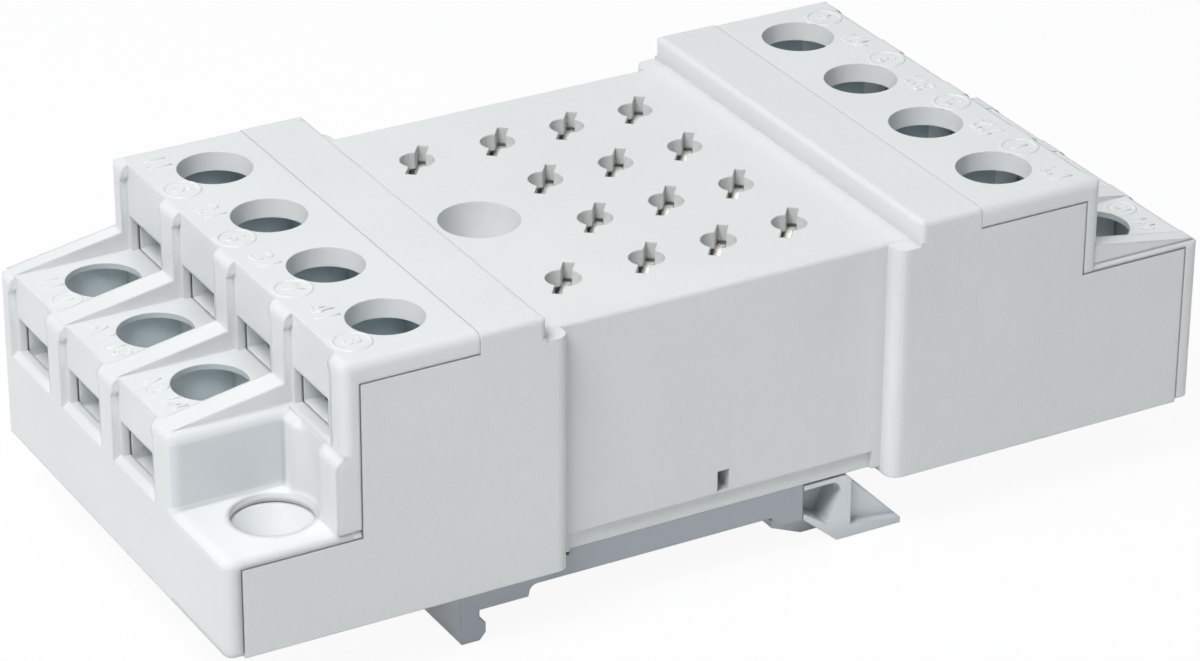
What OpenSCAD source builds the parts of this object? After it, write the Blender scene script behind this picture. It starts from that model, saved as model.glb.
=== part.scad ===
// Fourteen-way plug-in relay socket with screw clamps, for a 35 mm rail or two M4 screws.
// X runs along the length, Y across the width and Z up. The rail feet stand on z = 0.
// The two ends are alike, turned half round, so each end part is drawn once at +X.

/* [Terminals] */
// Distance between neighbouring clamps across the width
clamp_pitch = 12.2; // [12:0.1:13.5]
// Distance between the upper and the lower clamp row
tier_pitch = 12.3; // [11.8:0.1:13.5]
// Distance from the middle of the socket to an upper clamp screw
upper_clamp_x = 33.4; // [33:0.1:35]
// Distance from a clamp screw out to the face that its wire enters
clamp_to_face = 7.95; // [7.6:0.05:9]
// Diameter of the screwdriver hole over a clamp screw
driver_hole_d = 7.5; // [6.8:0.1:8]
// Height of a wire entry
entry_h = 3.7; // [3.4:0.1:4]
// Width of a wire entry
entry_w = 7.1; // [6.4:0.1:7.4]
// Width of the ribs between the wire entries
rib_w = 2.8; // [2.4:0.1:3]
// How far the ribs lie off the middle between two cells
rib_shift = 0.35; // [0.2:0.05:0.5]
// Depth of the wire entry faces behind the ribs
rib_depth = 0.75; // [0.4:0.05:1.1]
// Plastic beyond the outermost clamp cells
side_margin = 1.15; // [0.9:0.05:2]

/* [Plug field] */
// Distance between neighbouring contact rows
row_pitch = 10; // [9.6:0.1:10.6]
// Distance between neighbouring contact columns
column_pitch = 7.95; // [7.8:0.05:8.4]
// Place of the middle contact column along the length
middle_column_x = 4.1; // [3.6:0.1:4.4]
// Distance from the coil contacts to the first contact column
coil_gap = 9.05; // [8.8:0.05:9.6]
// Diameter of the round part of a contact hole
contact_hole_d = 3.5; // [3.2:0.1:4]
// Length of the slanting slot of a contact hole
contact_slot_l = 6.8; // [6:0.1:7.2]
// Width of the slanting slot of a contact hole
contact_slot_w = 1.1; // [0.9:0.05:1.4]
// Turn of the slots from the width towards the length, degrees
contact_turn = 38; // [30:1:45]
// Diameter of the hole for the relay's guide spigot
spigot_hole_d = 8.1; // [7:0.1:8.6]
// Place of the spigot hole along the length
spigot_x = -13.9; // [-14.5:0.1:-13.5]
// Depth of the spigot hole
spigot_depth = 12; // [8:0.5:14]

/* [Heights over the housing's underside] */
// Top of the plug field
field_h = 24.9; // [24.4:0.1:25.4]
// Top of the upper tier
upper_h = 27.3; // [27:0.1:28.5]
// Top of the lower tier
lower_h = 18; // [17.6:0.1:18.4]
// Floor of the mounting recess
recess_h = 10.2; // [9.4:0.1:11]
// Floor of a lower wire entry
lower_sill = 9.1; // [8.9:0.1:9.4]
// Rise of the slanting ribs on the lower tier
ramp_rise = 2; // [1:0.1:2.6]

/* [Body] */
// Distance from the middle to the raised end blocks
block_x = 20.45; // [20:0.05:21]
// Distance from the middle to the full-width ends
shoulder_x = 17.9; // [17.2:0.1:18.4]
// Distance from the middle to the joint between housing and cover
seam_x = 27.35; // [26.6:0.05:28]
// Depth of the waist behind the ends on each side
waist_inset = 2; // [1:0.1:2.4]
// Thickness of a cover's upper deck
upper_deck_t = 2.2; // [1.8:0.1:2.4]
// Thickness of a cover's lower deck
lower_deck_t = 0.8; // [0.7:0.05:1.2]
// Thickness of a cover's recess floor
recess_floor_t = 1; // [0.8:0.1:1.4]
// Thickness of a cover's end walls
end_wall_t = 1.75; // [1.5:0.05:2]
// Visible gap between the covers and the housing
seam_gap = 0.16; // [0.05:0.01:0.2]
// Radius of the covers' outer edges
edge_r = 0.9; // [0.5:0.1:1.1]

/* [Mounting] */
// Width of the mounting rail
rail_w = 35; // [34.9:0.05:35.1]
// Thickness of the mounting rail's lips
rail_t = 1; // [1:0.1:1.2]
// Place of the rail's fixed edge along the length
rail_edge_x = -26.4; // [-26.8:0.1:-26]
// Height of the rail feet below the housing
foot_drop = 6.7; // [6.4:0.1:7.4]
// Depth of the rail seat below the housing
seat_drop = 3.4; // [3.2:0.1:3.6]
// How far the latch pulls out
latch_travel = 2.3; // [1.8:0.1:2.6]
// Diameter of the holes for the two mounting screws
screw_hole_d = 4.4; // [4.2:0.1:5]
// Diameter of the well over a mounting screw
screw_well_d = 8; // [7.4:0.1:8.4]
// Place of a mounting screw across the width
screw_y = 19; // [18.6:0.1:19.6]

/* [Metal] */
// Thickness of the contact strips
strip_t = 0.8; // [0.5:0.1:0.9]
// Outer diameter of the clamp screw's thread
thread_d = 3.4; // [3:0.1:3.5]
// Clearance between the thread and what it passes through
thread_gap = 0.08; // [0.05:0.01:0.1]
// Diameter of the clamp screw's head
head_d = 6.2; // [5.6:0.1:6.5]
// Height of the clamp screw's head
head_h = 1.9; // [1.8:0.1:2.2]
// Length of the clamp screw below its head
shank_l = 8; // [7:0.5:8.5]
// Thickness of the clamp plate under the head
plate_t = 0.9; // [0.7:0.1:1]
// Gap between the clamp plate and its terminal, half open
clamp_gap = 2.1; // [2:0.1:2.3]

/* [Hidden] */
$fn = 48;
e = 0.01;
UP = [1, 2, 3, 4, 8, 9, 10, 11];
CLAMPS = [for (i = [1:14]) i];

half_w = 2 * clamp_pitch + side_margin;
waist_y = half_w - waist_inset;
riser_x = upper_clamp_x + clamp_to_face;
end_x = riser_x + tier_pitch;
lower_clamp_x = upper_clamp_x + tier_pitch;
step_x = riser_x - end_wall_t;
wall_x = end_x - end_wall_t;
upper_seam = upper_h - upper_deck_t;
lower_seam = lower_h - lower_deck_t;
recess_seam = recess_h - recess_floor_t;
upper_sill = lower_h;
waist_floor = 0.6;
cover_foot = 0.35;
cell_w = clamp_pitch - 2.9;
recess_wall_t = 1.1;
sill_lip = 0.7;
lug_w = 0.35;
lug_h = 1.3;
cone_depth = 2.5;
recess_y = clamp_pitch + rib_w / 2 - rib_shift + recess_wall_t;
recess_step_x = riser_x + 0.85;
scallop_r = 4.45;
pillar_r = 1.3;
pad = 8.4;
pad_gap = 0.1;
boss_r = 2.9;
boss_h = 1.4;
bore_r = 2.3;
deck_t = 1.8;
clip_h = 9.5;
clip_top = field_h - deck_t - 0.15;
clip_leaf = 0.5;
clip_half_l = 3.2;
chamber_l = 2 * clip_half_l + 0.8;
chamber_w = 3.6;
strip_w = 3;
latch_x = rail_edge_x + rail_w + 0.9;
base_t = 2.2;
base_y = waist_y - 0.45;
channel_y = 8.2;
hook_y = waist_y - 3.6;
slide_gap = 0.2;
coil_r = 0.72;
wire_r = 0.17;
coil_turns = 8;

columns = [middle_column_x - column_pitch - coil_gap, middle_column_x - column_pitch,
    middle_column_x, middle_column_x + column_pitch];
rows = [for (r = [1.5, 0.5, -0.5, -1.5]) r * row_pitch];
// Clamps 1 to 4 are the left upper row from the far side, 5 to 7 the left lower row,
// 8 to 11 the right upper row from the near side and 12 to 14 the right lower row.
function clamp_side(i) = i < 8 ? -1 : 1;
function clamp_index(i) = i < 8 ? i : i - 7;
function is_upper(i) = clamp_index(i) < 5;
function cell_y(k) = clamp_pitch * (k < 5 ? k - 2.5 : k - 6.5);
function clamp_xy(i) = clamp_side(i) * [is_upper(i) ? upper_clamp_x : lower_clamp_x,
    cell_y(clamp_index(i))];
function sill_z(i) = is_upper(i) ? upper_sill : lower_sill;
// Column and row of the plug contact that each clamp feeds.
PINS = [[0, 0], [1, 1], [1, 2], [0, 3], [1, 0], [2, 1], [1, 3],
    [3, 3], [3, 2], [3, 1], [3, 0], [2, 3], [2, 2], [2, 0]];
function pin_xy(i) = [columns[PINS[i - 1][0]], rows[PINS[i - 1][1]]];

function unit(v) = v / norm(v);
// Points that round one corner b of an outline, between its neighbours a and c.
function bend(a, b, c, r, n = 5) = r == 0 ? [b] : let (
    u = unit(a - b), w = unit(c - b), half = acos(u * w) / 2,
    p = b + u * r / tan(half), q = b + w * r / tan(half), o = b + unit(u + w) * r / sin(half),
    t0 = atan2(p.y - o.y, p.x - o.x), t1 = atan2(q.y - o.y, q.x - o.x),
    sweep = (t1 - t0 + 540) % 360 - 180)
    [for (k = [0:n]) o + r * [cos(t0 + sweep * k / n), sin(t0 + sweep * k / n)]];
// An outline whose points each carry a corner radius as [x, y, r].
function rounded(p) = let (m = len(p)) [for (i = [0:m - 1])
    each bend([p[(i + m - 1) % m].x, p[(i + m - 1) % m].y], [p[i].x, p[i].y],
        [p[(i + 1) % m].x, p[(i + 1) % m].y], p[i].z)];

module lifted() translate([0, 0, foot_drop]) children();
module both_ends() for (a = [0, 180]) rotate([0, 0, a]) children();
module left_end() rotate([0, 0, 180]) children();
module span_y(y0, y1) translate([0, y1, 0]) rotate([90, 0, 0]) linear_extrude(y1 - y0) children();
module span_x(x0, x1) translate([x0, 0, 0]) rotate([90, 0, 90]) linear_extrude(x1 - x0) children();
module box(a, b) translate(a) cube(b - a);

// A block whose outer end, sides and top are rounded.
module soft_block(x0, x1, y0, y1, z0, z1, r) intersection() {
    span_y(y0, y1) polygon(rounded([[x0, z0, 0], [x1, z0, 0], [x1, z1, r], [x0, z1, 0]]));
    span_x(x0, x1) polygon(rounded([[y0, z0, 0], [y1, z0, 0], [y1, z1, r], [y0, z1, r]]));
    translate([0, 0, z0]) linear_extrude(z1 - z0)
        polygon(rounded([[x0, y0, 0], [x1, y0, r], [x1, y1, r], [x0, y1, 0]]));
}

// The stepped core under a cover, with its recess side at +Y.
module end_core(gap = 0) {
    top = upper_seam + gap;
    low = lower_seam + gap;
    floor_z = recess_seam + gap;
    side = half_w + (gap > 0 ? 1 : 0);
    split = recess_y - recess_wall_t + gap;
    x0 = shoulder_x;
    bottom = gap > 0 ? -1 : 0;
    span_y(-side, side) polygon([[x0, bottom], [wall_x + gap, bottom], [wall_x + gap, floor_z],
        [step_x + gap, floor_z], [step_x + gap, top], [x0, top]]);
    span_y(-side, split) polygon([[x0, bottom], [wall_x + gap, bottom], [wall_x + gap, low], [x0, low]]);
}

// What one clamp needs cut from the housing: its cell, terminal seat and screw bore.
module clamp_cut(x, y, sill, front, top) {
    box([x - pad / 2 - 0.4, y - cell_w / 2, sill], [front + 1, y + cell_w / 2, top + 1]);
    box([x - pad / 2 - pad_gap, y - pad / 2 - pad_gap, sill - strip_t],
        [x + pad / 2 + pad_gap, y + pad / 2 + pad_gap, sill + e]);
    translate([x, y, sill - strip_t - boss_h]) cylinder(r = boss_r + 0.2, h = boss_h + e);
    translate([x, y, sill + clamp_gap + plate_t - shank_l - 3]) cylinder(r = bore_r, h = 12);
}

// Straight run of a contact strip from its terminal to its clip, seen from above.
module strip_run(i, w) {
    a = clamp_xy(i) - [clamp_side(i) * (pad / 2 - 1), 0];
    b = pin_xy(i);
    n = unit([a.y - b.y, b.x - a.x]) * w / 2;
    polygon([a + n, b + n, b - n, a - n]);
}

module at_pin(i) translate([pin_xy(i).x, pin_xy(i).y, 0]) rotate([0, 0, 90 - contact_turn]) children();

module housing() color("gainsboro") difference() {
    union() {
        both_ends() {
            intersection() {
                end_core();
                translate([0, 0, -e]) linear_extrude(upper_h) polygon(rounded([
                    [shoulder_x, -half_w, pillar_r], [wall_x, -half_w, 0],
                    [wall_x, half_w, 0], [shoulder_x, half_w, pillar_r]]));
                union() {
                    box([shoulder_x, -half_w, 0], [block_x + e, half_w, field_h - 0.15]);
                    box([block_x, -half_w, 0], [wall_x, half_w, upper_h]);
                }
            }
            translate([block_x + seam_x, 0, 0]) mirror([1, 0, 0])
                soft_block(block_x, seam_x, -half_w, half_w, field_h - 3, upper_h, edge_r - 0.3);
        }
        span_x(-block_x - 1, block_x + 1) polygon(rounded([[-waist_y, waist_floor, 0],
            [waist_y, waist_floor, 0], [waist_y, field_h, 0.4], [-waist_y, field_h, 0.4]]));
    }
    // Low strip along the foot of both long sides
    for (s = [-1, 1]) translate([0, s * waist_y, 0])
        box([-shoulder_x + 1, -0.45, 0], [shoulder_x - 1, 0.45, 2.5]);
    for (i = CLAMPS) rotate([0, 0, clamp_side(i) < 0 ? 180 : 0])
        clamp_cut(abs(clamp_xy(i).x), clamp_side(i) * clamp_xy(i).y, sill_z(i),
            is_upper(i) ? step_x : wall_x, is_upper(i) ? upper_seam : lower_seam);
    for (i = CLAMPS) {
        translate([0, 0, sill_z(i) - strip_t]) linear_extrude(strip_t) strip_run(i, strip_w + 0.2);
        translate([0, 0, field_h - 3]) at_pin(i) {
            cylinder(d = contact_hole_d, h = 4);
            translate([-contact_slot_l / 2, -contact_slot_w / 2, 0])
                cube([contact_slot_l, contact_slot_w, 4]);
        }
        at_pin(i) translate([-chamber_l / 2, -chamber_w / 2, 0])
            cube([chamber_l, chamber_w, field_h - deck_t]);
    }
    translate([spigot_x, 0, field_h - spigot_depth]) cylinder(d = spigot_hole_d, h = spigot_depth + 1);
    both_ends() translate([lower_clamp_x, screw_y, -1]) {
        cylinder(d = screw_hole_d, h = recess_h + 2);
        translate([0, 0, 1 + recess_seam - cone_depth])
            cylinder(d1 = screw_hole_d, d2 = screw_well_d - 0.4, h = cone_depth + e);
    }
    // Windows for the base plate's snap hooks
    for (s = [-1, 1]) {
        slot_span(s, hook_y - 0.65, waist_y + 1, 2.7, 4.9);
        slot_span(s, hook_y - 0.65, hook_y + 0.65, 0, 4.9);
    }
}

// A slot for a snap hook, from y0 to y1 on the side s.
module slot_span(s, y0, y1, z0, z1) mirror([0, s < 0 ? 1 : 0, 0]) box([-0.65, y0, z0], [0.65, y1, z1]);

// The space in front of the face of cell k, between its two ribs and under their lugs.
module face_cut(k) {
    x = k < 5 ? riser_x : end_x;
    z0 = k < 5 ? upper_sill : lower_sill + 0.2;
    rise = k < 5 ? 0 : sill_lip - 0.2;
    top = k < 5 ? upper_h : lower_h;
    y0 = cell_y(k) - clamp_pitch / 2 + rib_w / 2 - rib_shift;
    y1 = y0 + clamp_pitch - rib_w;
    intersection() {
        span_y(y0, y1) polygon([[x - rib_depth, z0 + rise], [x, z0], [x + 3, z0], [x + 3, top + 1],
            [x - rib_depth, top + 1]]);
        span_x(x - 2, x + 3) polygon([[y0, z0], [y1, z0], [y1, top - lug_h - lug_w],
            [y1 - lug_w, top - lug_h], [y1 - lug_w, top + 1], [y0 + lug_w, top + 1],
            [y0 + lug_w, top - lug_h], [y0, top - lug_h - lug_w]]);
    }
}

// The step in the mounting recess, its top edge bevelled and hollowed for the screwdriver.
module recess_step() difference() {
    span_y(recess_y - e, half_w) polygon([[step_x, recess_h - e], [recess_step_x, recess_h - e],
        [recess_step_x, lower_h - 0.9], [riser_x + 0.05, lower_h - 0.1], [step_x, lower_h - 0.1]]);
    translate([lower_clamp_x, screw_y, recess_h]) {
        cylinder(r = scallop_r, h = 12);
        translate([0, 0, lower_h - recess_h - 0.9]) cylinder(r1 = scallop_r, r2 = scallop_r + 0.8, h = 0.8);
    }
}

// One end cover, drawn at +X with its mounting recess at +Y.
module cover() difference() {
    union() {
        difference() {
            union() {
                soft_block(seam_x, riser_x, -half_w, half_w, lower_seam - 2, upper_h, edge_r);
                soft_block(step_x, end_x, -half_w, recess_y, cover_foot, lower_h, edge_r);
                soft_block(step_x, end_x, -half_w, half_w, cover_foot, recess_h, edge_r);
                recess_step();
            }
            for (k = [1:7]) face_cut(k);
        }
        // Slanting ribs that run up the lower deck
        for (n = [-2, -1, 0, 1]) {
            y0 = n == -2 ? 0.3 - half_w : n * clamp_pitch - rib_w / 2 - rib_shift;
            span_y(y0, n * clamp_pitch + rib_w / 2 - rib_shift) polygon([
                [end_x - 0.65, lower_h - e], [step_x + e, lower_h - e],
                [step_x + e, lower_h + ramp_rise], [riser_x, lower_h + ramp_rise]]);
        }
    }
    end_core(seam_gap);
    for (k = [1:7]) translate([k < 5 ? upper_clamp_x : lower_clamp_x, cell_y(k), 0]) {
        cylinder(d = driver_hole_d, h = 40);
        translate([0, -cell_w / 2, k < 5 ? upper_sill : lower_sill + sill_lip])
            cube([clamp_to_face + 1, entry_w, entry_h]);
    }
    translate([lower_clamp_x, screw_y, 0]) {
        cylinder(d = screw_well_d, h = recess_h + 1);
    }
}

module cover_left() color("whitesmoke") left_end() cover();
module cover_right() color("whitesmoke") cover();

// Rail foot: a bar profile with the fixed hook, the two rail seats and the latch channel.
module base_plate() color("lightslategray") difference() {
    tip = 0.65;
    union() {
        span_y(-base_y, base_y) polygon(rounded([
            [rail_edge_x - 2.1, 0, 0], [rail_edge_x - 2.1, -foot_drop, 0.3], [rail_edge_x, -foot_drop, 0],
            [rail_edge_x + tip, -foot_drop + 0.75, 0.2], [rail_edge_x + tip, -seat_drop - rail_t - 0.45, 0.2],
            [rail_edge_x, -seat_drop - rail_t, 0], [rail_edge_x, -seat_drop, 0],
            [rail_edge_x + 5.25, -seat_drop, 0], [rail_edge_x + 5.5, -base_t, 0.9],
            [rail_edge_x + rail_w - 2.9, -base_t, 0], [rail_edge_x + rail_w - 1.7, -seat_drop, 0],
            [latch_x - 0.1, -seat_drop, 0], [latch_x - 0.1, 0, 0]]));
        box([-shoulder_x + 1.2, -base_y, -e], [latch_x - 0.1, base_y, waist_floor]);
        for (s = [0, 1]) mirror([0, s, 0]) snap_hook();
    }
    box([latch_x - 24, -channel_y, -base_t + 0.8], [latch_x + 1, -2.2, 2]);
    box([latch_x - 24, 2.2, -base_t + 0.8], [latch_x + 1, channel_y, 2]);
    box([latch_x - 24, -2.3, -base_t + 0.8], [latch_x - 7, 2.3, 2]);
    box([latch_x - 5, -2.3, -base_t + 0.8], [latch_x + 1, 2.3, 2]);
}

module snap_hook() translate([0, hook_y, 0]) {
    box([-0.5, -0.45, 0], [0.5, 0.45, 4]);
    box([-0.5, 0, 3], [0.5, 0.6, 3.8]);
}

// Sprung latch: its side frames show below the waist, its nose grips under the rail.
module rail_latch() color("lightslategray") {
    x = latch_x;
    top = waist_floor - 0.25;
    ramp_x = x + 3.9;
    tip_x = x + 11.3;
    for (s = [0, 1]) mirror([0, s, 0]) span_y(base_y - 4, base_y) difference() {
        polygon([[x, top], [x, -seat_drop], [ramp_x, -foot_drop], [tip_x, -foot_drop],
            [tip_x, -foot_drop + 0.6], [x + 5.5, -foot_drop + 1.4], [x + 5.5, -0.25], [x + 4.9, top]]);
        polygon(rounded([[x - 1, top - 0.5, 0], [x + 4, top - 0.5, 1], [x + 4.3, -1.4, 0.5],
            [x + 2.9, -4.7, 0.3], [x + 0.2, -seat_drop + 0.5, 0], [x - 1, -seat_drop + 0.5, 0]]));
    }
    span_y(-base_y + 3, base_y - 3) polygon([[x, top], [x, -seat_drop - 0.2],
        [x - 1.1, -seat_drop - rail_t - 0.05], [x - 1.8, -seat_drop - rail_t - 0.05],
        [x - 1.8, -seat_drop - rail_t - 0.9],
        [ramp_x - 2.3, -foot_drop], [tip_x, -foot_drop], [tip_x, -foot_drop + 0.6],
        [x + 5.5, -foot_drop + 1.4], [x + 5.5, -0.25], [x + 4.9, top]]);
    for (y = [-base_y + 1.8, 0, base_y - 1.8]) span_y(y - 0.8, y + 0.8)
        polygon([[x + 5.4, -0.25], [x + 5.4, -foot_drop + 0.5], [tip_x, -foot_drop + 0.5],
            [tip_x, -foot_drop + 0.6]]);
    difference() {
        box([x - 21, -channel_y + slide_gap, -base_t + 1], [x + 1, channel_y - slide_gap, 0.2]);
        box([x - 17, -2.5, -base_t], [x - 4.6, 2.5, 1]);
    }
}

// Compression spring between the latch's window and the base plate's post.
module latch_spring() color("silver") translate([latch_x - 16.9, 0, -0.5]) {
    length = 9.7;
    sides = 6;
    per_turn = 12;
    rings = coil_turns * per_turn;
    points = [for (k = [0:rings]) let (t = 360 * k / per_turn,
        c = [wire_r + (length - 2 * wire_r) * k / rings, coil_r * cos(t), coil_r * sin(t)])
        for (j = [0:sides - 1]) let (a = 360 * j / sides)
        c + wire_r * [cos(a), sin(a) * cos(t), sin(a) * sin(t)]];
    polyhedron(points, concat([[for (j = [0:sides - 1]) j]],
        [for (k = [0:rings - 1], j = [0:sides - 1], half = [0, 1])
            let (a = k * sides + j, b = k * sides + (j + 1) % sides)
            half == 0 ? [b, a, a + sides] : [b, a + sides, b + sides]],
        [[for (j = [sides - 1:-1:0]) rings * sides + j]]));
}

// A clamp plate, its wire side bent up to lead the wire in; drawn on its screw's axis.
module plate() difference() {
    span_y(-cell_w / 2 + 0.35, cell_w / 2 - 0.35) polygon([[-3.7, 0], [3.4, 0], [4.1, 0.6],
        [4.1, 0.6 + plate_t], [3.3, plate_t], [-3.7, plate_t]]);
    translate([0, 0, -1]) cylinder(d = thread_d + 2 * thread_gap, h = 4);
}

module at_clamp(i) translate([clamp_xy(i).x, clamp_xy(i).y, sill_z(i)])
    rotate([0, 0, clamp_side(i) < 0 ? 180 : 0]) children();

module clamp_plate(i) color("lightsteelblue") at_clamp(i) translate([0, 0, clamp_gap]) plate();

// Clamp screw with a plain slot and a cross, drawn turned a little so that no two sides line up.
module clamp_screw(i) color("silver") at_clamp(i) translate([0, 0, clamp_gap + plate_t + 0.02]) difference() {
    union() {
        cylinder(d = head_d, h = head_h);
        translate([0, 0, -shank_l]) cylinder(d = thread_d, h = shank_l + e);
    }
    rotate([0, 0, 25 * i]) {
        box([-head_d, -0.5, head_h - 1.2], [head_d, 0.5, head_h + 1]);
        box([-0.45, -head_d / 3, head_h - 1], [0.45, head_d / 3, head_h + 1]);
    }
}

// One contact: the terminal pad with its threaded boss, the strip and the blade clip.
module contact(i) color("lightsteelblue") difference() {
    union() {
        at_clamp(i) translate([0, 0, -strip_t]) {
            box([-pad / 2, -pad / 2, 0], [pad / 2, pad / 2, strip_t]);
            translate([0, 0, -boss_h]) cylinder(r = boss_r, h = boss_h + e);
        }
        translate([0, 0, sill_z(i) - strip_t]) linear_extrude(strip_t) strip_run(i, strip_w);
        at_pin(i) {
            // Fixed leaf with its folded top edge, then the shorter spring leaf
            box([-clip_half_l, -0.1 - clip_leaf, clip_top - clip_h], [clip_half_l, -0.1, clip_top]);
            box([-clip_half_l, -1.5, clip_top - clip_leaf], [clip_half_l, -0.1, clip_top]);
            box([-clip_half_l, 0.4, clip_top - clip_h], [clip_half_l, 0.4 + clip_leaf, clip_top - 1.6]);
            box([-clip_half_l, -0.1 - clip_leaf, clip_top - clip_h],
                [clip_half_l, 0.4 + clip_leaf, clip_top - clip_h + clip_leaf]);
            box([-1.4, -0.1 - clip_leaf, min(sill_z(i), clip_top - clip_h) - strip_t],
                [1.4, 0.4 + clip_leaf, max(sill_z(i) - strip_t, clip_top - clip_h) + e]);
        }
    }
    at_clamp(i) translate([0, 0, -5]) cylinder(d = thread_d + 2 * thread_gap, h = 6);
}

lifted() housing();
lifted() cover_left();
lifted() cover_right();
lifted() base_plate();
lifted() rail_latch();
lifted() latch_spring();
for (i = CLAMPS) {
    number = str(i < 10 ? "0" : "", i);
    lifted() clamp_screw(i);
    lifted() clamp_plate(i);
    lifted() contact(i);
}
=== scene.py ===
# %% [markdown]
# A plug-in relay socket
#
# The part is a moulded socket for a fourteen-pin relay. It clips on a 35 mm rail and takes
# its wires under screw clamps, in two tiers at both ends. The CAD solids already have its
# true sizes. Here they get their plastics and metals, and the detail too fine for CAD.

# %% Load the CAD model, with a helper for a part's box
import bpy, bmesh, math
from mathutils import Vector, Matrix


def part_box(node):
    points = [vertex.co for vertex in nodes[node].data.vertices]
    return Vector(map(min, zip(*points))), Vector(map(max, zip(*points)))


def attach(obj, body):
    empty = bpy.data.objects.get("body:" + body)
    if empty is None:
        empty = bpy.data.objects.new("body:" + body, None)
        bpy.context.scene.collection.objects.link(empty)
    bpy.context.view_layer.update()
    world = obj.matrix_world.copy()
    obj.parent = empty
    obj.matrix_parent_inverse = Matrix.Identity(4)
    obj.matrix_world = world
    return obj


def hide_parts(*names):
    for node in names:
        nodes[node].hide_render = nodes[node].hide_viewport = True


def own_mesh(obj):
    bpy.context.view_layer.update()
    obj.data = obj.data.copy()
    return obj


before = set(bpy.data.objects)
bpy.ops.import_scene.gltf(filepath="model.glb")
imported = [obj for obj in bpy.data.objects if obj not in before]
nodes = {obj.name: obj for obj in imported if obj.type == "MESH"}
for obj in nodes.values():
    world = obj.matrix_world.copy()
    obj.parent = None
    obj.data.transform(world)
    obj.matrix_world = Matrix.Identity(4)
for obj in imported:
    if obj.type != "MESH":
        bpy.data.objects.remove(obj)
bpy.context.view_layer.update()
MM = 0.001
LIFT = 6.7  # the housing's underside over the rail feet, in mm

# %% [markdown]
# The camera
#
# The photograph was taken with a long lens, from the left and above. Its place comes from
# the straight edges of the part: fourteen holes in known rows pin down angle and distance.
# A long lens keeps the far end almost as large as the near one, as the picture shows.

# %% Camera at the photograph's angle
def look_from(azimuth, elevation, roll, distance, target, lens):
    """A camera that looks at target, turned from -Y towards -X, with angles in degrees."""
    az, el, turn = (math.radians(angle) for angle in (azimuth, elevation, roll))
    back = Vector((-math.sin(az) * math.cos(el), -math.cos(az) * math.cos(el), math.sin(el)))
    right = (-back).cross(Vector((0, 0, 1))).normalized()
    up = right.cross(-back)
    right, up = (math.cos(turn) * right + math.sin(turn) * up,
                 math.cos(turn) * up - math.sin(turn) * right)
    data = bpy.data.cameras.new("Camera")
    data.lens, data.sensor_width = lens, 36.0
    data.clip_start, data.clip_end = 0.01, 20.0
    camera = bpy.data.objects.new("Camera", data)
    bpy.context.scene.collection.objects.link(camera)
    spin = Matrix((right, up, back)).transposed().to_4x4()
    camera.matrix_world = Matrix.Translation(target + back * distance) @ spin
    bpy.context.scene.camera = camera
    return camera


camera = look_from(azimuth=29.51, elevation=27.099, roll=0.326, distance=464.309 * MM,
                   target=Vector((-0.871, -0.802, 9.99 + LIFT)) * MM, lens=140.3)
print("camera stands at", [round(v, 3) for v in camera.matrix_world.translation])

# %% [markdown]
# Colours and nodes
#
# Colours are written as sRGB hex, as a colour picker shows them. Blender works in linear
# light, so one function turns them over. A second one adds a shader node with its settings
# and links, so that each material below reads as a short list of what its surface does.

# %% Colour and node helpers
def linear(hex_colour):
    """sRGB hex to a linear colour with alpha."""
    parts = [int(hex_colour[i:i + 2], 16) / 255 for i in (0, 2, 4)]
    return [c / 12.92 if c <= 0.04045 else ((c + 0.055) / 1.055) ** 2.4 for c in parts] + [1.0]


def add_node(tree, kind, settings=None, **inputs):
    """Adds a node; inputs go by name, or as i0, i1 by number, and are values or links.

    A link is a pair of the node it comes from and the name or number of that node's output.
    """
    node = tree.nodes.new(kind)
    for name, value in (settings or {}).items():
        setattr(node, name, value)
    for name, value in inputs.items():
        numbered = name[0] == "i" and name[1:].isdigit()
        socket = node.inputs[int(name[1:]) if numbered else name.replace("_", " ")]
        if isinstance(value, tuple) and hasattr(value[0], "outputs"):
            tree.links.new(value[0].outputs[value[1]], socket)
        else:
            socket.default_value = value
    return node


def new_material(name):
    """An empty node material and its tree."""
    material = bpy.data.materials.new(name)
    material.use_nodes = True
    material.node_tree.nodes.clear()
    return material, material.node_tree


print("a mid grey in linear light:", [round(c, 3) for c in linear("808080")[:3]])

# %% [markdown]
# Where things are
#
# The fourteen clamps stand in two rows at each end, 12.2 mm apart. The right end is the left
# one turned half round. Every detail below finds its place from these few sizes, in
# millimetres over the rail feet, so that screws, marks and shaded cells agree with the CAD.

# %% Places of the clamps
PITCH = 12.2
UPPER_X, LOWER_X = 33.4, 45.7
UPPER_SILL, LOWER_SILL = 18.0 + LIFT, 9.1 + LIFT
UPPER_TOP, LOWER_TOP, FIELD_TOP = 27.3 + LIFT, 18.0 + LIFT, 24.9 + LIFT


def clamp(i):
    """Side, row place (x, y) and sill of clamp i, in mm."""
    side = -1 if i < 8 else 1
    k = i if i < 8 else i - 7
    upper = k < 5
    row = k - 2.5 if upper else k - 6.5
    return side, (side * (UPPER_X if upper else LOWER_X), side * PITCH * row), \
        UPPER_SILL if upper else LOWER_SILL


print("clamp 1 and 14 stand at", clamp(1)[1], clamp(14)[1])

# %% [markdown]
# Masks by place
#
# The moulding is one plastic, but its hollows get painted light and shade: thin walls round
# the holes are painted paler, the cells cooler, and the deep upper cells darker as painted
# shade. Each hollow gets its own painted tone, by a mask that is 1 inside it and 0
# elsewhere. The masks are short rows of math steps on the object's own x, y and z, and they
# repeat with the clamps' pitch.

# %% Mask helpers
UNDER_RIM = 0.06  # keeps the tone of a round hole off the flat top round it, in mm


def formula(tree, value, *steps):
    """value after a row of math steps, each an operation and its further inputs."""
    for operation, *others in steps:
        inputs = {f"i{k + 1}": other for k, other in enumerate(others)}
        value = (add_node(tree, "ShaderNodeMath", {"operation": operation}, i0=value, **inputs),
                 "Value")
    return value


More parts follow.
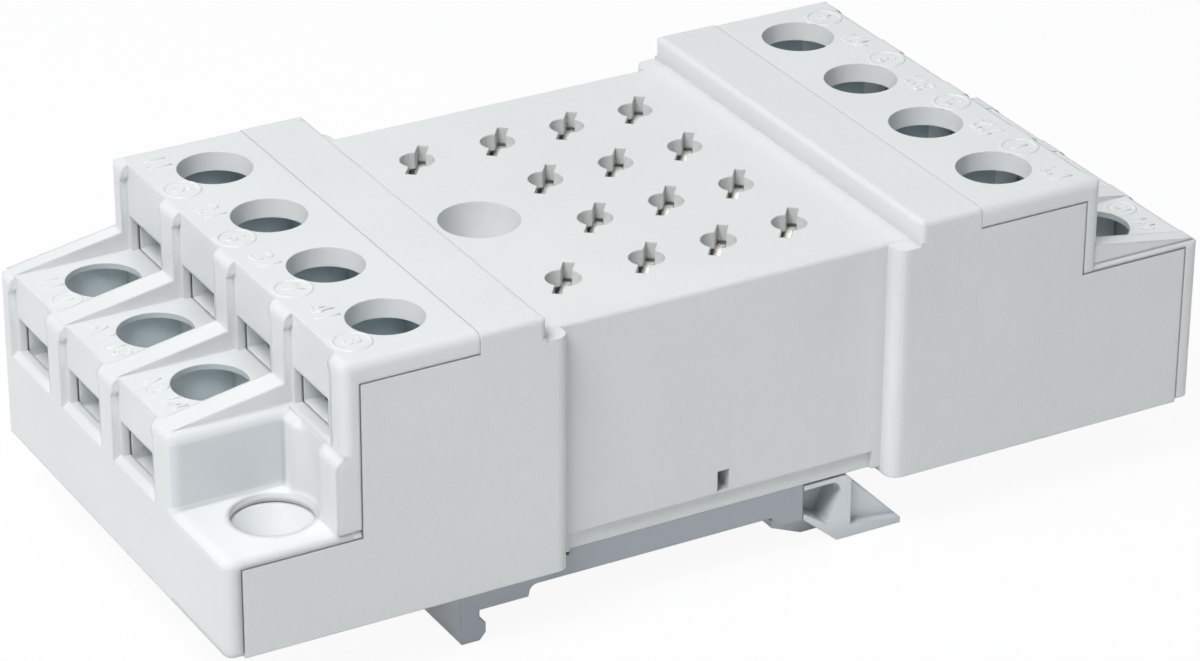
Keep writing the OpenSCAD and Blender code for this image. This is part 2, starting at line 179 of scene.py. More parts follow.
def between(tree, value, low, high):
    """1 where value lies between low and high, in mm, and 0 elsewhere."""
    return formula(tree, value, ("SUBTRACT", (low + high) / 2 * MM), ("ABSOLUTE",),
                   ("LESS_THAN", (high - low) / 2 * MM))


def all_of(tree, first, *others):
    """1 where every mask is 1."""
    return formula(tree, first, *(("MULTIPLY", other) for other in others))


def off_cell_middle(tree, y):
    """How far y lies from the middle of its clamp cell."""
    return formula(tree, y, ("WRAP", PITCH * MM, 0.0), ("SUBTRACT", PITCH / 2 * MM),
                   ("ABSOLUTE",))


def outward_y(tree, x, y):
    """y on the right end and -y on the left, because the ends are turned half round."""
    return formula(tree, x, ("SIGN",), ("MULTIPLY", y))


def in_circle(tree, dx, dy, radius, z, top):
    """1 within radius, in mm, of an upright axis that lies dx and dy away, and under top."""
    square = formula(tree, dx, ("MULTIPLY", dx), ("ADD", formula(tree, dy, ("MULTIPLY", dy))),
                     ("LESS_THAN", (radius * MM) ** 2))
    return all_of(tree, square, formula(tree, z, ("LESS_THAN", (top - UNDER_RIM) * MM)))


print("masks repeat every", PITCH, "mm across the width")

# %% [markdown]
# Hollows of the housing
#
# Under the covers the housing holds the clamp cells. Down a driver hole the eye meets the
# cell's inner part, painted darker in the upper cells and paler in the lower ones, and through
# a wire entry its floor just behind the sill, painted light. The relay's guide hole's wall is
# painted light too. Each tone is read off the photograph.

# %% Painted light and shade in the housing's hollows
CELL_HALF_WIDTH = 4.72
UPPER_CELL, LOWER_CELL = (28.7, 36.9), (41.0, 49.2)  # deep parts, from the middle outwards
UPPER_ENTRY, LOWER_ENTRY = (36.9, 40.4), (49.2, 52.8)  # just behind the wire entries
UPPER_ROOF, LOWER_ROOF = 25.2 + LIFT, 17.3 + LIFT
# the cells' painted tones and the entries' painted light reach this far under the sill
CELL_DEPTH, ENTRY_DEPTH = 4, 0.5  # how far below its sill each is toned
GUIDE_X, GUIDE_R = -13.9, 4.2


def cell_part(tree, axes, outwards, low, high):
    """1 in every clamp cell between two distances from the middle and two heights."""
    x, y, z = axes
    return all_of(tree, formula(tree, off_cell_middle(tree, y),
                                ("LESS_THAN", CELL_HALF_WIDTH * MM)),
                  between(tree, formula(tree, x, ("ABSOLUTE",)), *outwards),
                  between(tree, z, low, high))


def housing_painted_light_shade(tree, axes):
    """Pairs of a mask and the painted light or shade that the housing gets there."""
    x, y, z = axes
    off_recess = formula(tree, outward_y(tree, x, y), ("LESS_THAN", PITCH * MM))
    upper = cell_part(tree, axes, UPPER_CELL, UPPER_SILL - CELL_DEPTH, UPPER_ROOF)
    lower = all_of(tree, off_recess,
                   cell_part(tree, axes, LOWER_CELL, LOWER_SILL - CELL_DEPTH, LOWER_ROOF))
    upper_entry = cell_part(tree, axes, UPPER_ENTRY, UPPER_SILL - ENTRY_DEPTH, UPPER_ROOF)
    lower_entry = all_of(tree, off_recess,
                         cell_part(tree, axes, LOWER_ENTRY, LOWER_SILL - ENTRY_DEPTH, LOWER_ROOF))
    entries = formula(tree, upper_entry, ("MAXIMUM", lower_entry))
    guide = in_circle(tree, formula(tree, x, ("SUBTRACT", GUIDE_X * MM)), y, GUIDE_R, z,
                      FIELD_TOP)
    # painted shade, darker and cooler, deep in the upper cells; paler painted light in the lower
    # cells, behind the wire entries and on the guide hole's wall
    return (upper, "C3D0D2"), (lower, "EDF5F6"), (entries, "F4F8F6"), (guide, "F6F8F8")


print("upper cells are toned from", UPPER_SILL - CELL_DEPTH, "to", round(UPPER_ROOF, 1), "mm")

# %% [markdown]
# Hollows of the covers
#
# The walls of the upper driver holes are painted light, almost white, and the thin lower rims
# a cooler painted shade. The recess of a mounting screw has a painted-light floor below a
# painted-shade wall. The mould's edges differ too: the holes are crisp, the recess is rounded
# by about a millimetre, and all other edges by 0.4 mm, so the same masks also set the rounding.

# %% Painted light and shade, and rounding, of the covers
HOLE_WALL_R, HOLE_RIM_R = 3.85, 4.4
HOLE_ROWS = ((UPPER_X, UPPER_TOP, 24.0 + LIFT), (LOWER_X, LOWER_TOP, 16.0 + LIFT))
RECESS_FROM_X, RECESS_FROM_Y = 40.6, 13.4
RECESS_FLOOR = 10.2 + LIFT
CRISP_EDGE, EDGE, RECESS_EXTRA = 0.14, 0.42, 0.7


def driver_holes(tree, axes, radius, over=0.0):
    """Two masks, 1 within radius of the upper and of the lower driver holes."""
    x, y, z = axes
    out, dy = formula(tree, x, ("ABSOLUTE",)), off_cell_middle(tree, y)
    masks = []
    for centre, top, low in HOLE_ROWS:
        dx = formula(tree, out, ("SUBTRACT", centre * MM))
        masks.append(all_of(tree, in_circle(tree, dx, dy, radius, z, top + over),
                            formula(tree, z, ("GREATER_THAN", low * MM))))
    return masks


def recess(tree, axes):
    """1 over the recess of a mounting screw."""
    x, y, z = axes
    return all_of(tree, formula(tree, x, ("ABSOLUTE",), ("GREATER_THAN", RECESS_FROM_X * MM)),
                  formula(tree, outward_y(tree, x, y), ("GREATER_THAN", RECESS_FROM_Y * MM)))


def cover_painted_light_shade(tree, axes):
    """Pairs of a mask and the painted light or shade that a cover gets there."""
    x, y, z = axes
    upper, lower = driver_holes(tree, axes, HOLE_WALL_R)
    recess_floor = all_of(tree, recess(tree, axes),
                          between(tree, z, RECESS_FLOOR - 0.6, RECESS_FLOOR + 0.2))
    recess_wall = all_of(tree, recess(tree, axes),
                         between(tree, outward_y(tree, x, y), 13.9, 14.8),
                         between(tree, z, RECESS_FLOOR + 0.4, LOWER_TOP - 1.0))
    # painted light on the upper hole walls and the recess floor, cooler painted shade on the
    # lower rims and the recess wall
    return ((upper, "FCFDFD"), (lower, "D5DCDE"), (recess_floor, "F0F2F2"),
            (recess_wall, "DCE0E2"))


def cover_rounding(tree, axes):
    """The radius of the covers' edges, by place."""
    upper, lower = driver_holes(tree, axes, HOLE_RIM_R, over=0.3)
    generous = formula(tree, recess(tree, axes), ("MULTIPLY", RECESS_EXTRA * MM))
    return formula(tree, upper, ("MAXIMUM", lower), ("MULTIPLY", (CRISP_EDGE - EDGE) * MM),
                   ("ADD", generous), ("ADD", EDGE * MM))


print("cover edges are rounded by", CRISP_EDGE, "to", round(EDGE + RECESS_EXTRA, 2), "mm")

# %% [markdown]
# Moulded plastics
#
# The housing is a pale grey polyamide, moulded in a spark-eroded tool, which leaves a fine
# even grain about 0.3 mm across, with a few broader wrinkles where the melt met. The covers
# come from a smoother tool and shine a little more. The foot is a darker blue-grey polyamide:
# partly its own colour, partly painted shade from the housing above it.
# One function makes all of them, because they differ only in colour, grain and roughness.
#
# First comes the relief. Real edges are never sharp, so a bevel node rounds them to the eye.
# Grain and wrinkles are noise, a fraction of a millimetre high, laid over the rounding.

# %% Relief of a moulded surface
WRINKLE_MM = 10 / 7
GRAIN_HEIGHT, WRINKLE_HEIGHT = 0.1, 0.3  # in mm, before their strength


def moulded_relief(tree, place, radius, grain_mm, grain_depth, wrinkles):
    """The grain, and rounded edges of the given radius with grain and wrinkles over them."""
    rounding = add_node(tree, "ShaderNodeBevel", {"samples": 6}, Radius=radius)
    grain = add_node(tree, "ShaderNodeTexNoise", Vector=(place, "Object"),
                     Scale=1 / (grain_mm * MM), Detail=3.0, Roughness=0.6)
    bump = add_node(tree, "ShaderNodeBump", Height=(grain, "Fac"), Strength=grain_depth,
                    Distance=GRAIN_HEIGHT * MM, Normal=(rounding, "Normal"))
    if wrinkles:
        stretch = add_node(tree, "ShaderNodeMapping", Vector=(place, "Object"),
                           Scale=(1.0, 1.0, 0.75))
        folds = add_node(tree, "ShaderNodeTexNoise", Vector=(stretch, "Vector"),
                         Scale=1 / (WRINKLE_MM * MM), Detail=4.0, Distortion=0.4)
        bump = add_node(tree, "ShaderNodeBump", Height=(folds, "Fac"), Strength=wrinkles,
                        Distance=WRINKLE_HEIGHT * MM, Normal=(bump, "Normal"))
    return grain, bump


print("wrinkles are", round(WRINKLE_MM, 1), "mm apart")

# %% [markdown]
# Tone of a moulded surface
#
# A moulding is never quite even in tone: it drifts by two per cent over some centimetres.
# The painted light and shade of the hollows lies over that. Creases get painted shade, a
# little darker where the ambient occlusion node finds much surface near.

# %% Tone of a moulded surface
CLOUD_MM, DRIFT = 50 / 3, 0.02


def moulded_tone(tree, place, colour, patches, crease_shade, crease_shade_mm):
    """colour with a slight drift, the patches of painted light and shade over it and painted
    shade in creases.
    """
    cloud = add_node(tree, "ShaderNodeTexNoise", Vector=(place, "Object"),
                     Scale=1 / (CLOUD_MM * MM), Detail=2.0)
    ramp = add_node(tree, "ShaderNodeValToRGB", Fac=(cloud, "Fac"))
    for stop, position, factor in zip(ramp.color_ramp.elements, (0.3, 0.7),
                                      (1 - DRIFT, 1 + DRIFT)):
        stop.position = position
        stop.color = [min(1, c * factor) for c in linear(colour)[:3]] + [1]
    tone = (ramp, "Color")
    for mask, painted_light_shade_colour in patches:
        tone = (add_node(tree, "ShaderNodeMix", {"data_type": "RGBA"}, i0=mask, i6=tone,
                         i7=linear(painted_light_shade_colour)), 2)
    # painted shade in creases, by how much surface is near
    if crease_shade:
        nearness = add_node(tree, "ShaderNodeAmbientOcclusion", {"samples": 8},
                            Distance=crease_shade_mm * MM)
        shade = add_node(tree, "ShaderNodeMapRange", Value=(nearness, "AO"), i3=1 - crease_shade,
                         i4=1.0)
        tone = (add_node(tree, "ShaderNodeMix", {"data_type": "RGBA", "blend_type": "MULTIPLY"},
                         i0=1.0, i6=tone, i7=(shade, "Result")), 2)
    return tone


print("the tone drifts by", DRIFT, "either way over", round(CLOUD_MM), "mm")

# %% [markdown]
# The whole plastic
#
# Relief and tone meet in one Principled shader. The gloss follows the grain, a little duller
# where it stands up, so that highlights break up as they do on a real moulding.

# %% A moulded plastic
POLYAMIDE_IOR = 1.53
GLOSS_SPREAD = 0.06


def moulded_plastic(name, colour, roughness, grain_mm, grain_depth, edge, wrinkles=0.0,
                    crease_shade=0.0, crease_shade_mm=1.6, painted_light_shade=None):
    """Polyamide; edge is a radius in mm or a function for one; the last argument gives the
    patches of painted light and shade.
    """
    material, tree = new_material(name)
    place = add_node(tree, "ShaderNodeTexCoord")
    split = add_node(tree, "ShaderNodeSeparateXYZ", Vector=(place, "Object"))
    axes = [(split, axis) for axis in "XYZ"]
    radius = edge(tree, axes) if callable(edge) else edge * MM
    # patches of painted light and shade in the hollows
    patches = painted_light_shade(tree, axes) if painted_light_shade else ()
    tone = moulded_tone(tree, place, colour, patches, crease_shade, crease_shade_mm)
    grain, bump = moulded_relief(tree, place, radius, grain_mm, grain_depth, wrinkles)
    gloss = add_node(tree, "ShaderNodeMapRange", Value=(grain, "Fac"),
                     i3=roughness - GLOSS_SPREAD, i4=roughness + GLOSS_SPREAD)
    shader = add_node(tree, "ShaderNodeBsdfPrincipled", Base_Color=tone,
                      Roughness=(gloss, "Result"), IOR=POLYAMIDE_IOR, Normal=(bump, "Normal"))
    add_node(tree, "ShaderNodeOutputMaterial", Surface=(shader, "BSDF"))
    return material


print("polyamide has an IOR of", POLYAMIDE_IOR)

# %% [markdown]
# The five plastics of the part
#
# Polyamide has a roughness of about 0.4 from a polished tool and 0.6 from an eroded one. The
# smooth tools leave a grain finer than a picture of the whole part can show, so on those
# plastics it is drawn coarser, 0.4 to 0.5 mm across, and very faint. The raised marks have
# sides only 0.1 mm wide, so their edges are hardly rounded. The latch is paler than its foot
# in the photograph and darkest inside its window, so its painted crease shade is deeper and
# reaches further.

# %% Plastics
# the crease figures below set painted shade in creases
housing_plastic = moulded_plastic(
    "eroded_polyamide", "E7E9E9", roughness=0.62, grain_mm=0.26, grain_depth=0.4, edge=0.25,
    wrinkles=0.2, crease_shade=0.25, painted_light_shade=housing_painted_light_shade)
cover_plastic = moulded_plastic(
    "smooth_polyamide", "E7E9EA", roughness=0.42, grain_mm=0.5, grain_depth=0.06,
    edge=cover_rounding, crease_shade=0.06, painted_light_shade=cover_painted_light_shade)
mark_plastic = moulded_plastic(
    "mark_polyamide", "E7E9EA", roughness=0.5, grain_mm=0.5, grain_depth=0.06, edge=0.02)
# the foot's colour is partly its own blue-grey and partly painted shade from the housing above
shaded_foot_plastic = moulded_plastic(
    "shaded_foot_polyamide", "ADB3B9", roughness=0.4, grain_mm=0.4, grain_depth=0.08, edge=0.25)
latch_plastic = moulded_plastic(
    "latch_polyamide", "E6EAEE", roughness=0.4, grain_mm=0.4, grain_depth=0.08, edge=0.3,
    crease_shade=0.4, crease_shade_mm=3.0)
print("plastics:", housing_plastic.name, cover_plastic.name, shaded_foot_plastic.name)

# %% [markdown]
# Metals
#
# The clamp screws and plates are steel with a bluish zinc plating. The contacts are
# tinned bronze, brighter and a little warm. Both are worn by their tumbling, so the
# roughness drifts over the surface in patches of 0.5 to 0.8 mm. Zinc plating is satin, at
# about 0.35, and tin or spring wire smoother, at about 0.25. A metal keeps the default IOR.

# %% Metals
METAL_EDGE, METAL_RELIEF, WEAR = 0.08, 0.05, 0.1  # two sizes in mm, and roughness either way


def plated_metal(name, colour, roughness, patch_mm):
    """Plated metal whose roughness drifts in small patches."""
    material, tree = new_material(name)
    place = add_node(tree, "ShaderNodeTexCoord")
    rounding = add_node(tree, "ShaderNodeBevel", {"samples": 4}, Radius=METAL_EDGE * MM)
    patches = add_node(tree, "ShaderNodeTexNoise", Vector=(place, "Object"),
                       Scale=1 / (patch_mm * MM), Detail=4.0)
    rough = add_node(tree, "ShaderNodeMapRange", Value=(patches, "Fac"), i3=roughness - WEAR,
                     i4=roughness + WEAR)
    bump = add_node(tree, "ShaderNodeBump", Height=(patches, "Fac"), Strength=0.1,
                    Distance=METAL_RELIEF * MM, Normal=(rounding, "Normal"))
    shader = add_node(tree, "ShaderNodeBsdfPrincipled", Base_Color=linear(colour), Metallic=1.0,
                      Roughness=(rough, "Result"), Normal=(bump, "Normal"))
    add_node(tree, "ShaderNodeOutputMaterial", Surface=(shader, "BSDF"))
    return material


zinc_steel = plated_metal("zinc_plated_steel", "C3CAD2", roughness=0.34, patch_mm=0.6)
tinned_bronze = plated_metal("tinned_bronze", "E2E0DA", roughness=0.28, patch_mm=0.8)
spring_steel = plated_metal("spring_steel", "A9ACB0", roughness=0.25, patch_mm=0.5)
print("metals:", zinc_steel.name, tinned_bronze.name, spring_steel.name)

# %% [markdown]
# Materials for the CAD solids
#
# The solids keep their shapes. Each gets its finish by the start of its name, so all
# fourteen clamp plates or contacts share one entry.

# %% Give the solids their materials
FINISHES = {"housing": housing_plastic, "cover": cover_plastic, "base_plate": shaded_foot_plastic,
            "rail_latch": latch_plastic, "latch_spring": spring_steel,
            "contact": tinned_bronze, "clamp": zinc_steel}

for name, node in nodes.items():
    node.data.materials.clear()
    node.data.materials.append(next(finish for start, finish in FINISHES.items()
                                    if name.startswith(start)))
print("materials given to", len(nodes), "CAD nodes")

# %% [markdown]
# Meshes made by rings
#
# The screws, the spring, the contacts' lips and the rings of the marks are all made the same
# way: a row of equal rings of points, joined by faces. One helper joins them. A new piece is
# linked and gets its material.

# %% Mesh helpers
def join_rings(bm, rings, looped=False):
    """Faces between neighbouring rings, with both ends capped unless the row is looped."""
    around = len(rings[0])
    for low, high in zip(rings, rings[1:] + (rings[:1] if looped else [])):
        for k in range(around):
            n = (k + 1) % around
            bm.faces.new((low[k], low[n], high[n], high[k]))
    if not looped:
        bm.faces.new(list(reversed(rings[0])))
        bm.faces.new(rings[-1])


def mesh_of(bm, name, smooth=False):
    """The bmesh as a mesh; the bmesh is freed."""
    mesh = bpy.data.meshes.new(name)
    bm.to_mesh(mesh)
    bm.free()
    if smooth:
        mesh.shade_smooth()
    return mesh


def link_object(name, data):
    """A new object of the scene, for a mesh, a text curve or a lamp."""
    thing = bpy.data.objects.new(name, data)
    bpy.context.scene.collection.objects.link(thing)
    return thing


def evaluated_mesh(thing):
    """The object's mesh with its modifiers or curve settings worked out."""
    bpy.context.view_layer.update()
    return bpy.data.meshes.new_from_object(thing.evaluated_get(
        bpy.context.evaluated_depsgraph_get()))


def new_piece(name, mesh, material):
    """A new object of the scene with one material."""
    piece = link_object(name, mesh)
    if not mesh.materials:
        mesh.materials.append(material)
    return piece


print("helpers ready")

# %% [markdown]
# Clamp screws
#
# The CAD screws are plain cylinders. A real one has a rolled thread of 0.6 mm pitch, a
# chamfered tip, and a cheese head with a rounded edge, a slot and a cross for either
# screwdriver. The thread is a height field wound on a cylinder: the radius at each point
# follows a triangle wave that climbs one pitch a turn. It fades out below the head.

# %% Thread and head
AROUND = 32  # points round a screw
THREAD_PITCH, THREAD_ROOT, THREAD_CREST, SHANK = 0.6, 1.38, 1.68, 8.0
THREAD_END, THREAD_FADE = -0.45, 0.5  # where the plain neck starts, and the run-out below it
TIP_LENGTH, TIP_SHARE = 0.8, 0.72  # the tip's chamfer, and its end's share of the radius
HEAD_TOP = 1.9
HEAD_PROFILE = ((THREAD_ROOT, THREAD_END), (THREAD_ROOT, -0.12), (1.6, 0.0), (2.98, 0.0),
                (3.08, 0.1), (3.1, 0.25), (3.1, 1.4), (3.04, 1.66), (2.86, 1.82),
                (2.6, HEAD_TOP))


def thread_radius(z, turn):
    """Radius of the shank at height z, where turn goes from 0 to 1 round it."""
    wave = 1 - abs(2 * ((z / THREAD_PITCH - turn) % 1.0) - 1)
    tip = min(1.0, max(0.0, (z + SHANK) / TIP_LENGTH))
    fade = min(1.0, max(0.0, (THREAD_END - z) / THREAD_FADE))
    depth = (THREAD_CREST - THREAD_ROOT) * wave * min(1, tip * 1.4) * fade
    return (THREAD_ROOT + depth) * (TIP_SHARE + (1 - TIP_SHARE) * tip)


def screw_blank():
    """The screw without its slots, with the underside of its head at z = 0."""
    rows = []
    z = -SHANK
    while z < THREAD_END:
        rows.append([(thread_radius(z, k / AROUND), z) for k in range(AROUND)])
        z += THREAD_PITCH / 8
    rows += [[corner] * AROUND for corner in HEAD_PROFILE]
    bm = bmesh.new()
    rings = []
    for row in rows:
        angles = (2 * math.pi * k / AROUND for k in range(AROUND))
        rings.append([bm.verts.new(Vector((r * math.cos(a), r * math.sin(a), z)) * MM)
                      for a, (r, z) in zip(angles, row)])
    join_rings(bm, rings)
    return mesh_of(bm, "clamp_screw_body")


blank = screw_blank()
print("screw blank has", len(blank.polygons), "faces")

# %% [markdown]
# Slot and cross
#
# The slot runs right through the head and the cross is a short, shallower cut at right
# angles to it. Both are cut at once by a boolean, as a milling cutter would, and the result
# is kept as one mesh that all fourteen screws share. Each is turned a little further than
# its neighbour, as screws are when they are left open.

# %% Slotted screws in their places
SLOT_CUTS = ((8.0, 1.0, 1.2), (0.9, 4.13, 1.0))  # along x, along y and depth, in mm
SCREW_SEAT = 2.1 + 0.9 + 0.02  # the terminal's gap, the clamp plate and a hair of play

cutter_bm = bmesh.new()
for along_x, along_y, depth in SLOT_CUTS:
    block = bmesh.ops.create_cube(cutter_bm, size=1.0)["verts"]
    bmesh.ops.scale(cutter_bm, verts=block, vec=(along_x * MM, along_y * MM, 4 * MM))
    bmesh.ops.translate(cutter_bm, verts=block, vec=(0, 0, (HEAD_TOP - depth + 2) * MM))
cutter = link_object("cutter", mesh_of(cutter_bm, "cutter"))
body = link_object("screw_blank", blank)
cut = body.modifiers.new("slots", "BOOLEAN")
cut.object, cut.operation, cut.solver, cut.use_self = cutter, "DIFFERENCE", "EXACT", True
screw = evaluated_mesh(body)
screw.name = "clamp_screw"
for scrap in (body, cutter):
    bpy.data.objects.remove(scrap)
screw.materials.clear()
screw.materials.append(zinc_steel)
screw.shade_smooth()
screw.set_sharp_from_angle(angle=math.radians(34))

for i in range(1, 15):
    side, (x, y), sill = clamp(i)
    piece = new_piece(f"screw_{i:02d}", screw, zinc_steel)
    piece.location = (x * MM, y * MM, (sill + SCREW_SEAT) * MM)
    piece.rotation_euler = (0, 0, math.radians(25 * i + (180 if side < 0 else 0)))
    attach(piece, f"screw_{i:02d}")
    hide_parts(f"clamp_screw_{i:02d}")
print("screw has", len(screw.polygons), "faces, used 14 times")

# %% [markdown]
# The latch spring
#
# A small compression spring pushes the rail latch home. The CAD one is a coarse coil, so a
# smooth coil of the same turns, wire and length stands for it.

# %% Latch spring
COIL_RADIUS, WIRE_RADIUS, COIL_TURNS = 0.72, 0.17, 8


def coil_mesh(length, per_turn=36, sides=10):
    """A round-wire coil along +X from 0 to length, in mm."""
    bm = bmesh.new()
    rings = []
    total = COIL_TURNS * per_turn
    for k in range(total + 1):
        t = 2 * math.pi * k / per_turn
        out = Vector((0, math.cos(t), math.sin(t)))
        centre = COIL_RADIUS * out
        centre.x = WIRE_RADIUS + (length - 2 * WIRE_RADIUS) * k / total
        angles = (2 * math.pi * j / sides for j in range(sides))
        rings.append([bm.verts.new((centre + WIRE_RADIUS * (
            math.cos(a) * Vector((1, 0, 0)) + math.sin(a) * out)) * MM) for a in angles])
    join_rings(bm, rings)
    bmesh.ops.recalc_face_normals(bm, faces=bm.faces)
    return mesh_of(bm, "coil", smooth=True)


spring_low, spring_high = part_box("latch_spring")
spring = new_piece("coil_spring", coil_mesh((spring_high.x - spring_low.x) / MM),
                   spring_steel)
spring.data.transform(Matrix.Translation((spring_low.x, 0,
                                          (spring_low.z + spring_high.z) / 2)))
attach(spring, "socket")
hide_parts("latch_spring")
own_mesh(spring)
print("spring from", round(spring_low.x / MM, 2), "to", round(spring_high.x / MM, 2), "mm")

# %% [markdown]
# Contact lips
#
# Down each plug slot a bright spot shows: the bent lip of the tinned contact, which guides
# the relay's blade. It is a small curved tongue just under the deck, in line with the slot
# and rising along it, so it throws the light from above back up to the eye.

# %% Lips of the plug contacts
PLUG_COLUMNS, PLUG_ROWS = (-12.9, -3.85, 4.1, 12.05), (15, 5, -5, -15)
EMPTY_PLACES = ((0, 1), (0, 2))  # column and row numbers without a contact
SLOT_TURN = math.radians(52)  # from the length towards the width
LIP_SECTION = ((-0.35, 0), (0.75, 0), (0.75, 0.15), (-0.35, 0.15))  # across and down
LIP_FROM, LIP_LENGTH = 0.1, 2.8  # along the slot
LIP_DEPTH, LIP_RISE, LIP_CURVE = 2.85, 1.0, 0.8  # under the deck, up, and how it bends
LIP_STEPS = 6


def lip_centre(t):
    """Place along the slot and height over the deck, in mm, as t goes from 0 to 1."""
    return LIP_FROM + LIP_LENGTH * t, LIP_RISE * t ** LIP_CURVE - LIP_DEPTH


lips = bmesh.new()
for column, px in enumerate(PLUG_COLUMNS):
    for row, py in enumerate(PLUG_ROWS):
        if (column, row) in EMPTY_PLACES:
            continue
        at = Matrix.Translation(Vector((px, py, FIELD_TOP)) * MM) @ Matrix.Rotation(
            SLOT_TURN, 4, "Z")
        rings = []
        for k in range(LIP_STEPS + 1):
            along, rise = lip_centre(k / LIP_STEPS)
            rings.append([lips.verts.new(at @ (Vector((along, across, rise - drop)) * MM))
                          for across, drop in LIP_SECTION])
        join_rings(lips, rings)
bmesh.ops.recalc_face_normals(lips, faces=lips.faces)
contact_lips = new_piece("contact_lips", mesh_of(lips, "contact_lips"), tinned_bronze)
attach(contact_lips, "socket")
print("contact lips have", len(contact_lips.data.polygons), "faces")

# %% [markdown]
# Clamp marks
#
# Each clamp has a raised number beside its hole, and most also a smaller number in a ring.
# The figures stand 0.11 mm proud with soft sides, no more than a moulding tool's engraving.
# A text curve with a round bevel gives the soft sides. On the left they read towards -Y,
# with their tops towards the middle, and the right end is turned half round.

# %% Raised numbers and rings
RELIEF = 0.11  # height of a mark in mm
SLOPE = 0.12  # width of its rounded side in mm
RING_STROKE = 0.5
FIGURE_SHARE = 0.73  # height of a figure as a share of the font's size


def mark_mesh(words, height, width):
    """Raised words with soft sides, centred on the origin, with figures height mm tall."""
    curve = bpy.data.curves.new("mark", "FONT")
    curve.body, curve.size = words, height / FIGURE_SHARE * MM
    curve.bevel_depth, curve.bevel_resolution, curve.offset = SLOPE * MM, 2, -0.02 * MM
    curve.resolution_u, curve.space_character = 3, 1.05
    text = link_object("mark", curve)
    mesh = evaluated_mesh(text)
    bpy.data.objects.remove(text)
    xs, ys = [[v.co[axis] for v in mesh.vertices] for axis in (0, 1)]
    middle = Vector((-(min(xs) + max(xs)) / 2, -(min(ys) + max(ys)) / 2, 0))
    mesh.transform(Matrix.Diagonal((width, 1, RELIEF / SLOPE, 1)) @ Matrix.Translation(middle))
    return mesh


def add_ring(bm, matrix, radius, count=48):
    """A low rounded ring of the given radius, added to bm."""
    profile = [(radius + RING_STROKE / 2 * math.cos(a), RELIEF * (1.4 * math.sin(a) - 0.4))
               for a in (math.pi * j / 6 for j in range(7))]
    rings = []
    for k in range(count):
        a = 2 * math.pi * k / count
        rings.append([bm.verts.new(matrix @ (Vector((r * math.cos(a), r * math.sin(a), z)) * MM))
                      for r, z in profile])
    join_rings(bm, rings, looped=True)


print("marks are", RELIEF, "mm high")

# %% [markdown]
# The figures and their places
#
# The table says what each clamp carries. Places are measured from the middle of the clamp:
# how far out towards the end of the part, and how far along the row.

# %% Marks at both ends
MARKS = {  # clamp: (number, ringed number); figures from the middle of each end outwards
    1: ("11", "5"), 2: ("21", "6"), 3: ("31", "7"), 4: ("41", "8"),
    5: ("11", "1"), 6: ("A1 13", None), 7: ("A2 14", None),
    8: ("12", "1"), 9: ("22", "2"), 10: ("32", "3"), 11: ("42", "4"),
    12: ("44", "12"), 13: ("34", "11"), 14: ("24", "10")}
# True is an upper clamp and False a lower one; each has figure height, out and along, in mm
NUMBERS_AT = {True: (2.4, 4.55, 3.8), False: (2.1, 4.75, 1.9)}
RINGS_AT = {True: (1.9, 4.95, -2.95, 1.8), False: (1.5, 4.95, -2.2, 1.45)}  # and the radius
ALONE_ALONG = 0.3  # a lower number without a ring stands nearly in the middle

for end, numbers in (("left", range(1, 8)), ("right", range(8, 15))):
    bm = bmesh.new()
    for i in numbers:
        side, (x, y), sill = clamp(i)
        words, ringed = MARKS[i]
        upper = sill == UPPER_SILL
        top = UPPER_TOP if upper else LOWER_TOP
        number_tall, number_out, number_along = NUMBERS_AT[upper]
        if not upper and not ringed:
            number_along = ALONE_ALONG
        spots = [(words, number_tall, number_out, number_along, 1.0)]
        if ringed:
            spots.append((ringed, *RINGS_AT[upper][:3], 0.9))
        for text, tall, out, along, width in spots:
            at = Matrix.Translation(Vector((x + side * out, y - side * along, top)) * MM)
            at = at @ Matrix.Rotation(math.radians(90 * side), 4, "Z")
            mesh = mark_mesh(text, tall, width)
            mesh.transform(at)
            bm.from_mesh(mesh)
            bpy.data.meshes.remove(mesh)
            if text == ringed:
                add_ring(bm, at, RINGS_AT[upper][3])
    marks = new_piece("clamp_marks_" + end, mesh_of(bm, "marks_" + end, smooth=True),
                      mark_plastic)
    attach(marks, "socket")
    print(end, "marks have", len(marks.data.polygons), "faces")

# %% [markdown]
# Lamps
#
# The walls of the holes are dark on the left and bright on the right, so the main soft box
# of the photograph stood high on the left and was small. A larger one behind evens out the
# tops, and a low one reaches under the housing. Their powers are set so that the tops render
# about as their colour is written.

# %% Soft boxes
def softbox(name, place, target, size, watts):
    """A soft box of the given width and height at place, in metres, turned to target."""
    data = bpy.data.lights.new(name, "AREA")
    data.energy, data.shape = watts, "RECTANGLE"
    data.size, data.size_y = size
    lamp = link_object(name, data)
    lamp.location = place
    lamp.rotation_euler = (Vector(target) - Vector(place)).to_track_quat("-Z", "Y").to_euler()
    return lamp


lamps = [softbox("main_box", (-0.35, -0.2, 0.58), (0, 0, 0.02), (0.3, 0.3), 3.4),
         softbox("back_box", (0.0, 0.3, 0.7), (0, 0, 0.02), (0.6, 0.6), 1.3),
         softbox("low_box", (-0.8, 0.0, 0.08), (0, 0, 0.02), (0.9, 0.16), 0.2)]
print("lamps:", [(lamp.name, round(lamp.data.energy, 2)) for lamp in lamps])

# %% [markdown]
# The room
#
# The side towards the camera gets only what a pale, slightly cool room throws back. What the
# camera sees beyond the object is white, by Is Camera Ray, with no extra light on the
# object, and glossy and transmission rays see the same white, so that the metals do too.

# %% World and view
ROOM_LEVEL = 0.19

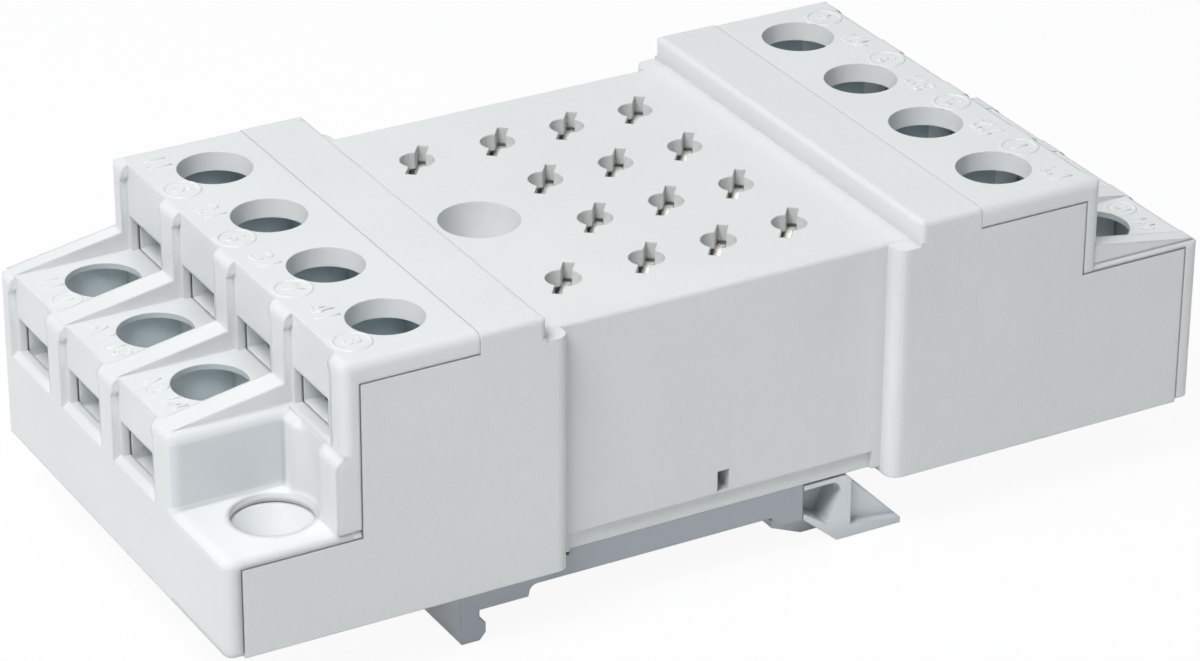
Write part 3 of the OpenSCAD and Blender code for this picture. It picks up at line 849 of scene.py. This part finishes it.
world = bpy.data.worlds.new("Studio")
bpy.context.scene.world = world
world.use_nodes = True
sky = world.node_tree
sky.nodes.clear()
rays = add_node(sky, "ShaderNodeLightPath")
seen = formula(sky, (rays, "Is Camera Ray"), ("MAXIMUM", (rays, "Is Glossy Ray")),
               ("MAXIMUM", (rays, "Is Transmission Ray")))
room = add_node(sky, "ShaderNodeBackground", Color=linear("F2FBFD"), Strength=ROOM_LEVEL)
white = add_node(sky, "ShaderNodeBackground", Color=[1, 1, 1, 1], Strength=1.0)
mix = add_node(sky, "ShaderNodeMixShader", Fac=seen, i1=(room, "Background"),
               i2=(white, "Background"))
add_node(sky, "ShaderNodeOutputWorld", Surface=(mix, "Shader"))
bpy.context.scene.view_settings.view_transform = "Standard"
print("room level", ROOM_LEVEL)

# %% [markdown]
# The floor
#
# The part stands on white paper. To the camera most of the paper's brightness comes from an
# even white glow, and a small share from the lit paper itself, which keeps a faint shadow
# under the part. The glow doesn't light the part, because other rays see plain paper.

# %% Paper floor
GLOW_SHARE = 0.93

floor_bm = bmesh.new()
bmesh.ops.create_grid(floor_bm, x_segments=1, y_segments=1, size=3.0)
floor = link_object("floor", mesh_of(floor_bm, "floor"))
floor.location = (0, 0, -0.0002)
paper, paper_tree = new_material("white_paper")
lit_paper = add_node(paper_tree, "ShaderNodeBsdfPrincipled", Base_Color=linear("F4F5F6"),
                     Roughness=0.9)
paper_rays = add_node(paper_tree, "ShaderNodeLightPath")
glow = add_node(paper_tree, "ShaderNodeEmission", Color=[1, 1, 1, 1], Strength=1.0)
paper_mix = add_node(paper_tree, "ShaderNodeMixShader",
                     Fac=formula(paper_tree, (paper_rays, "Is Camera Ray"),
                                 ("MAXIMUM", (paper_rays, "Is Glossy Ray")),
                                 ("MULTIPLY", GLOW_SHARE)),
                     i1=(lit_paper, "BSDF"), i2=(glow, "Emission"))
add_node(paper_tree, "ShaderNodeOutputMaterial", Surface=(paper_mix, "Shader"))
floor.data.materials.append(paper)
print("floor material:", paper.name)

# %% [markdown]
# Sizes and the end
#
# The dressed part should be hardly bigger than the CAD model: only the raised marks stand
# over it. At the end the scene is brought up to date.

# %% Bring the scene up to date
bpy.context.view_layer.update()
